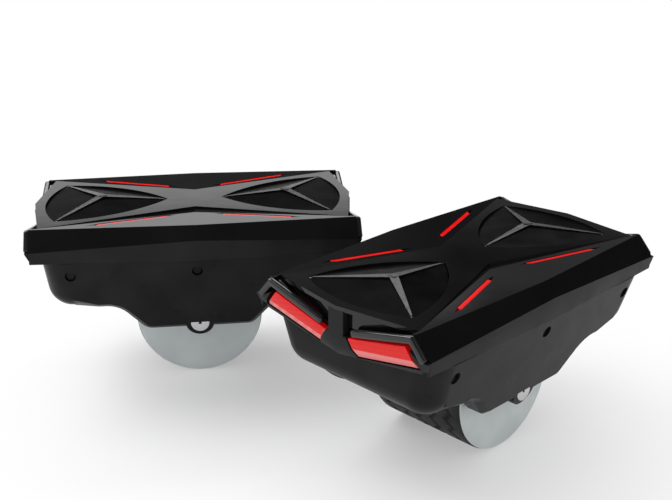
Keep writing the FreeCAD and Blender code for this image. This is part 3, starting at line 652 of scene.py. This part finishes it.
# %% [markdown]
# ## The lip round each end disc
# The light disc covers almost the whole end of the wheel, and only a thin dark line of tyre
# shows round it. The frame's disc stops where the tyre sits. A wider disc would cut through
# the tyre, so a thin turned ring is laid over the tyre's shoulder, level with the disc. It is
# spun from a small rounded outline, as on a lathe.

# %% Spin an outline round the axle
TYRE_RADIUS = 61.0


def spun_mesh(name, outlines):
    """A ring round the axle. Each step of the turn has an outline of (radius, across) in mm."""
    steps, count = len(outlines), len(outlines[0])
    points, faces = [], []
    for i, outline in enumerate(outlines):
        angle = 2 * math.pi * i / steps
        points += [(r * math.sin(angle) * MM, y * MM, (TYRE_RADIUS + r * math.cos(angle)) * MM)
                   for r, y in outline]
        here, there = i * count, (i + 1) % steps * count
        for j in range(count):
            k = (j + 1) % count
            faces.append((here + j, here + k, there + k, there + j))
    mesh = bpy.data.meshes.new(name)
    mesh.from_pydata(points, [], faces)
    return mesh


print("the axle lies", TYRE_RADIUS, "mm above the floor")

# %% Turn the lips
LIP_INNER, LIP_OUTER, LIP_BACK, LIP_FACE = 58.2, 60.1, 49.58, 50.4
LIP_CHAMFER, LIP_STEPS = 0.3, 120
LIP_OUTLINE = ((LIP_INNER, LIP_BACK), (LIP_OUTER, LIP_BACK), (LIP_OUTER, LIP_FACE - LIP_CHAMFER),
               (LIP_OUTER - LIP_CHAMFER, LIP_FACE), (LIP_INNER, LIP_FACE))
for side in SIDES:
    for end, sign in (("inner", -1), ("outer", 1)):
        outline = [(r, sign * y) for r, y in LIP_OUTLINE][::sign]
        mesh = spun_mesh(f"{side}_{end}_lip", [outline] * LIP_STEPS)
        mesh.transform(shoe_place[side])
        lip = bpy.data.objects.new(f"{side}_{end}_disc_lip", mesh)
        bpy.context.scene.collection.objects.link(lip)
        mesh.materials.append(aluminium_satin)
        smooth(lip)
        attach(lip, side + "_wheel")
        print(lip.name, len(mesh.polygons), "faces")

# %% [markdown]
# ## The tyre's tread
# The tyre is a thin, wide band of rubber with zigzag grooves round it. The frame has only its
# plain ring. Displacing a smooth ring in the shader would not show at the edge, so the ring
# is built as a grid, and each point sinks where a groove runs. Neighbouring grooves sway in
# opposite ways, which leaves ribs between them that widen and narrow.

# %% Sink the grooves and round the shoulders
TYRE_SEAT, TYRE_HALF_WIDTH = 58.4, 49.5
GROOVE_LINES, GROOVE_WAVES, GROOVE_SWAY = (-36.0, -18.0, 0.0, 18.0, 36.0), 24, 3.2
GROOVE_HALF_WIDTH, GROOVE_DEPTH, GROOVE_WALL = 1.9, 1.9, 0.7
SHOULDER, SHOULDER_SHARE = 3.0, 0.45


def tread_radius(angle, y):
    sway = GROOVE_SWAY * math.asin(math.sin(angle * GROOVE_WAVES)) / (math.pi / 2)
    nearest = min(abs(y - line - sway * (1 if i % 2 else -1)) for i, line in enumerate(GROOVE_LINES))
    sunk = max(0.0, min(1.0, (GROOVE_HALF_WIDTH - nearest) / GROOVE_WALL))
    into_edge = max(0.0, abs(y) - (TYRE_HALF_WIDTH - SHOULDER)) / SHOULDER
    drop = SHOULDER * SHOULDER_SHARE * (1 - math.sqrt(max(0.0, 1 - into_edge**2)))
    return TYRE_RADIUS - GROOVE_DEPTH * sunk - drop


print("the tread is", len(GROOVE_LINES), "grooves,", GROOVE_DEPTH, "mm deep")

# %% Build the tyre
TREAD_STEPS_ROUND, TREAD_STEPS_ACROSS = 288, 66


def tread_outline(angle):
    across = [-TYRE_HALF_WIDTH + 2 * TYRE_HALF_WIDTH * j / TREAD_STEPS_ACROSS
              for j in range(TREAD_STEPS_ACROSS + 1)]
    seat = [(TYRE_SEAT, TYRE_HALF_WIDTH), (TYRE_SEAT, -TYRE_HALF_WIDTH)]
    return [(tread_radius(angle, y), y) for y in across] + seat


for side in SIDES:
    angles = [2 * math.pi * i / TREAD_STEPS_ROUND for i in range(TREAD_STEPS_ROUND)]
    mesh = spun_mesh(side + "_tread", [tread_outline(angle) for angle in angles])
    mesh.transform(shoe_place[side])
    tyre = stand_for(side + "_tyre", mesh, side + "_tyre_tread")
    print(tyre.name, len(mesh.polygons), "faces")

# %% [markdown]
# ## The floor
# The shoes stand on a plain pale floor that fades into a white room. A painted backdrop
# would need a curved corner behind the shoes. Here the floor is a real surface that catches
# soft shadows near the shoes, and further out it turns into plain white light for the camera
# and for reflections. It lies a hair below the tyres, so the two surfaces never touch.

# %% Lay the floor
FLOOR_REACH, FLOOR_DROP = 12.0, 0.0002
corners = [(x * FLOOR_REACH, y * FLOOR_REACH, 0) for x, y in ((-1, -1), (1, -1), (1, 1), (-1, 1))]
floor_mesh = bpy.data.meshes.new("floor")
floor_mesh.from_pydata(corners, [], [(0, 1, 2, 3)])
floor = bpy.data.objects.new("floor", floor_mesh)
floor.location.z = -FLOOR_DROP
bpy.context.scene.collection.objects.link(floor)
floor_paint = finish("floor_paint", (0.90, 0.90, 0.905), roughness=0.6, level=0.2)
vary_colour(floor_paint, dark=(0.885, 0.885, 0.89), light=(0.915, 0.915, 0.92), scale=6)
floor_mesh.materials.append(floor_paint)
print("floor reaches", FLOOR_REACH, "m each way")

# %% Where the floor is white, and for which rays
WHITE_FROM, WHITE_BY, LEAST_WHITE = 0.04, 0.50, 0.3


def seen_rays(material):
    """1 for camera, reflection and glass rays, 0 for the rays that light the shoes."""
    path = add(material, "LightPath")
    seen = add(material, "Math", operation="MAXIMUM")
    either = add(material, "Math", operation="MAXIMUM")
    wire(material, path.outputs["Is Camera Ray"], seen.inputs[0])
    wire(material, path.outputs["Is Glossy Ray"], seen.inputs[1])
    wire(material, seen.outputs[0], either.inputs[0])
    wire(material, path.outputs["Is Transmission Ray"], either.inputs[1])
    return either.outputs[0]


def away_from_shoes(material):
    """The share of white: LEAST_WHITE between the shoes, and 1 beyond WHITE_BY metres."""
    away = add(material, "VectorMath", operation="LENGTH")
    wire(material, add(material, "TexCoord").outputs["Object"], away.inputs[0])
    fade = add(material, "MapRange", interpolation_type="SMOOTHSTEP")
    set_range(fade, WHITE_FROM, WHITE_BY, LEAST_WHITE, 1.0)
    wire(material, away.outputs["Value"], fade.inputs["Value"])
    return fade.outputs["Result"]


print("the floor is all white", WHITE_BY, "m from the middle")


# %% Let the floor turn white
def white_where_seen(material):
    share = add(material, "Math", operation="MULTIPLY")
    wire(material, seen_rays(material), share.inputs[0])
    wire(material, away_from_shoes(material), share.inputs[1])
    light = add(material, "Emission")
    mix = add(material, "MixShader")
    wire(material, share.outputs[0], mix.inputs["Fac"])
    wire(material, shader_of(material).outputs[0], mix.inputs[1])
    wire(material, light.outputs[0], mix.inputs[2])
    wire(material, mix.outputs[0], material.node_tree.nodes["Material Output"].inputs["Surface"])


white_where_seen(floor_paint)
print("floor paint has", len(floor_paint.node_tree.nodes), "nodes")

# %% [markdown]
# ## The room
# The shoes stand in a white studio. One plain white world would light them well, but a glossy
# black shows mostly what it reflects, and in the photograph that is a bright band low in the
# room, a dark room above it, and a darker wall to the right. So the world has three answers:
# soft white for the rays that light the shoes, white for the camera, and for reflections a
# room drawn by direction alone. It stays where it is when the camera moves.

# %% Start the room
ROOM_LIGHT = 0.62
world = bpy.data.worlds.new("white_room")
world.use_nodes = True
bpy.context.scene.world = world
room = world.node_tree
room.nodes.clear()


def room_node(kind, **settings):
    node = room.nodes.new("ShaderNode" + kind)
    for key, value in settings.items():
        setattr(node, key, value)
    return node


for_light = room_node("Background")
for_light.inputs["Color"].default_value = (1, 1, 1, 1)
for_light.inputs["Strength"].default_value = ROOM_LIGHT
for_camera = room_node("Background")
for_camera.inputs["Color"].default_value = (1, 1, 1, 1)
print("room light", ROOM_LIGHT)

# %% Draw the room that reflections see
BRIGHT_BAND, DARK_ABOVE, DARK_TOP = (0.305, 1.0), (0.345, 0.07), (0.9, 0.06)  # height and grey
WALL_FROM, WALL_BY, WALL_GREY = 0.14, 0.24, 0.12
direction = room_node("TexCoord")
parts_of_it = room_node("SeparateXYZ")
by_height = room_node("ValToRGB")
stops = by_height.color_ramp.elements
for stop, (place, grey) in zip(stops, (BRIGHT_BAND, DARK_ABOVE)):
    stop.position = place
    stop.color = (grey, grey, grey, 1)
top_grey = DARK_TOP[1]
stops.new(DARK_TOP[0]).color = (top_grey, top_grey, top_grey, 1)
by_wall = room_node("MapRange", interpolation_type="SMOOTHSTEP")
set_range(by_wall, WALL_FROM, WALL_BY, 1.0, WALL_GREY)
wall = room_node("Math", operation="MULTIPLY")
for_gloss = room_node("Background")
for start, end in (
    (direction.outputs["Generated"], parts_of_it.inputs[0]),
    (parts_of_it.outputs["Z"], by_height.inputs["Fac"]),
    (parts_of_it.outputs["X"], by_wall.inputs["Value"]),
    (by_wall.outputs["Result"], wall.inputs[0]),
    (by_height.outputs["Color"], wall.inputs[1]),
    (wall.outputs[0], for_gloss.inputs["Color"]),
):
    room.links.new(start, end)
print("reflections see", len(stops), "greys by height, and a wall of", WALL_GREY)

# %% Choose by the kind of ray
path = room_node("LightPath")
reflected = room_node("Math", operation="MAXIMUM")
first_mix = room_node("MixShader")
last_mix = room_node("MixShader")
room_out = room_node("OutputWorld")
for start, end in (
    (path.outputs["Is Glossy Ray"], reflected.inputs[0]),
    (path.outputs["Is Transmission Ray"], reflected.inputs[1]),
    (reflected.outputs[0], first_mix.inputs["Fac"]),
    (for_light.outputs[0], first_mix.inputs[1]),
    (for_gloss.outputs[0], first_mix.inputs[2]),
    (path.outputs["Is Camera Ray"], last_mix.inputs["Fac"]),
    (first_mix.outputs[0], last_mix.inputs[1]),
    (for_camera.outputs[0], last_mix.inputs[2]),
    (last_mix.outputs[0], room_out.inputs["Surface"]),
):
    room.links.new(start, end)
print("the room has", len(room.nodes), "nodes and", len(room.links), "links")

# %% [markdown]
# ## Lamps
# Two large soft boxes light the shoes: the main one high at the back left, so the shadows
# fall forward and to the right, and a much weaker one at the front right. A long narrow box
# behind them draws a thin light line along the rounded edges. Small lamps would give hard
# shadows and pin-point glints, so all are big and far enough away to stay soft.

# %% Soft boxes
def soft_box(name, place, target, size, watts):
    data = bpy.data.lights.new(name, "AREA")
    data.shape = "RECTANGLE"
    data.size, data.size_y = size
    data.energy = watts
    lamp = bpy.data.objects.new(name, data)
    bpy.context.scene.collection.objects.link(lamp)
    lamp.location = place
    lamp.rotation_euler = (Vector(target) - Vector(place)).to_track_quat("-Z", "Y").to_euler()
    print(name, size[0], "by", size[1], "m,", watts, "W")


soft_box("main_box", place=(-1.3, 0.9, 1.9), target=(0, 0, 0.05), size=(1.6, 1.2), watts=36)
soft_box("edge_box", place=(0.15, 1.35, 1.35), target=(0, 0, 0.15), size=(2.2, 0.25), watts=9)
soft_box("fill_box", place=(1.6, -1.2, 1.3), target=(0, 0, 0.1), size=(1.2, 1.0), watts=3)

# %% [markdown]
# ## The camera
# The photograph looks down at about 21 degrees, on the right flank of the left shoe and the
# rear of the right one, with a longish lens. A lens could be guessed by eye, but the view was
# measured in pixels, so the lens is worked out from the width of the picture in pixels.

# %% Camera
PICTURE_WIDTH, PICTURE_HEIGHT = 672, 500
FOCUS_PIXELS, SENSOR_WIDTH, FURTHEST = 1056.7, 36.0, 50
CAMERA_PLACE = (-0.1145, -0.8819, 0.4904)
LOOK_DOWN, LOOK_RIGHT = 20.81, 7.29
camera_data = bpy.data.cameras.new("camera")
camera_data.sensor_fit = "HORIZONTAL"
camera_data.sensor_width = SENSOR_WIDTH
camera_data.lens = FOCUS_PIXELS / PICTURE_WIDTH * SENSOR_WIDTH
camera_data.clip_end = FURTHEST
camera = bpy.data.objects.new("camera", camera_data)
bpy.context.scene.collection.objects.link(camera)
camera.location = CAMERA_PLACE
camera.rotation_euler = (math.radians(90 - LOOK_DOWN), 0, math.radians(-LOOK_RIGHT))
bpy.context.scene.camera = camera
bpy.context.scene.view_settings.view_transform = "Standard"
print("lens", round(camera_data.lens, 2), "mm for a picture of", PICTURE_WIDTH, "by", PICTURE_HEIGHT)
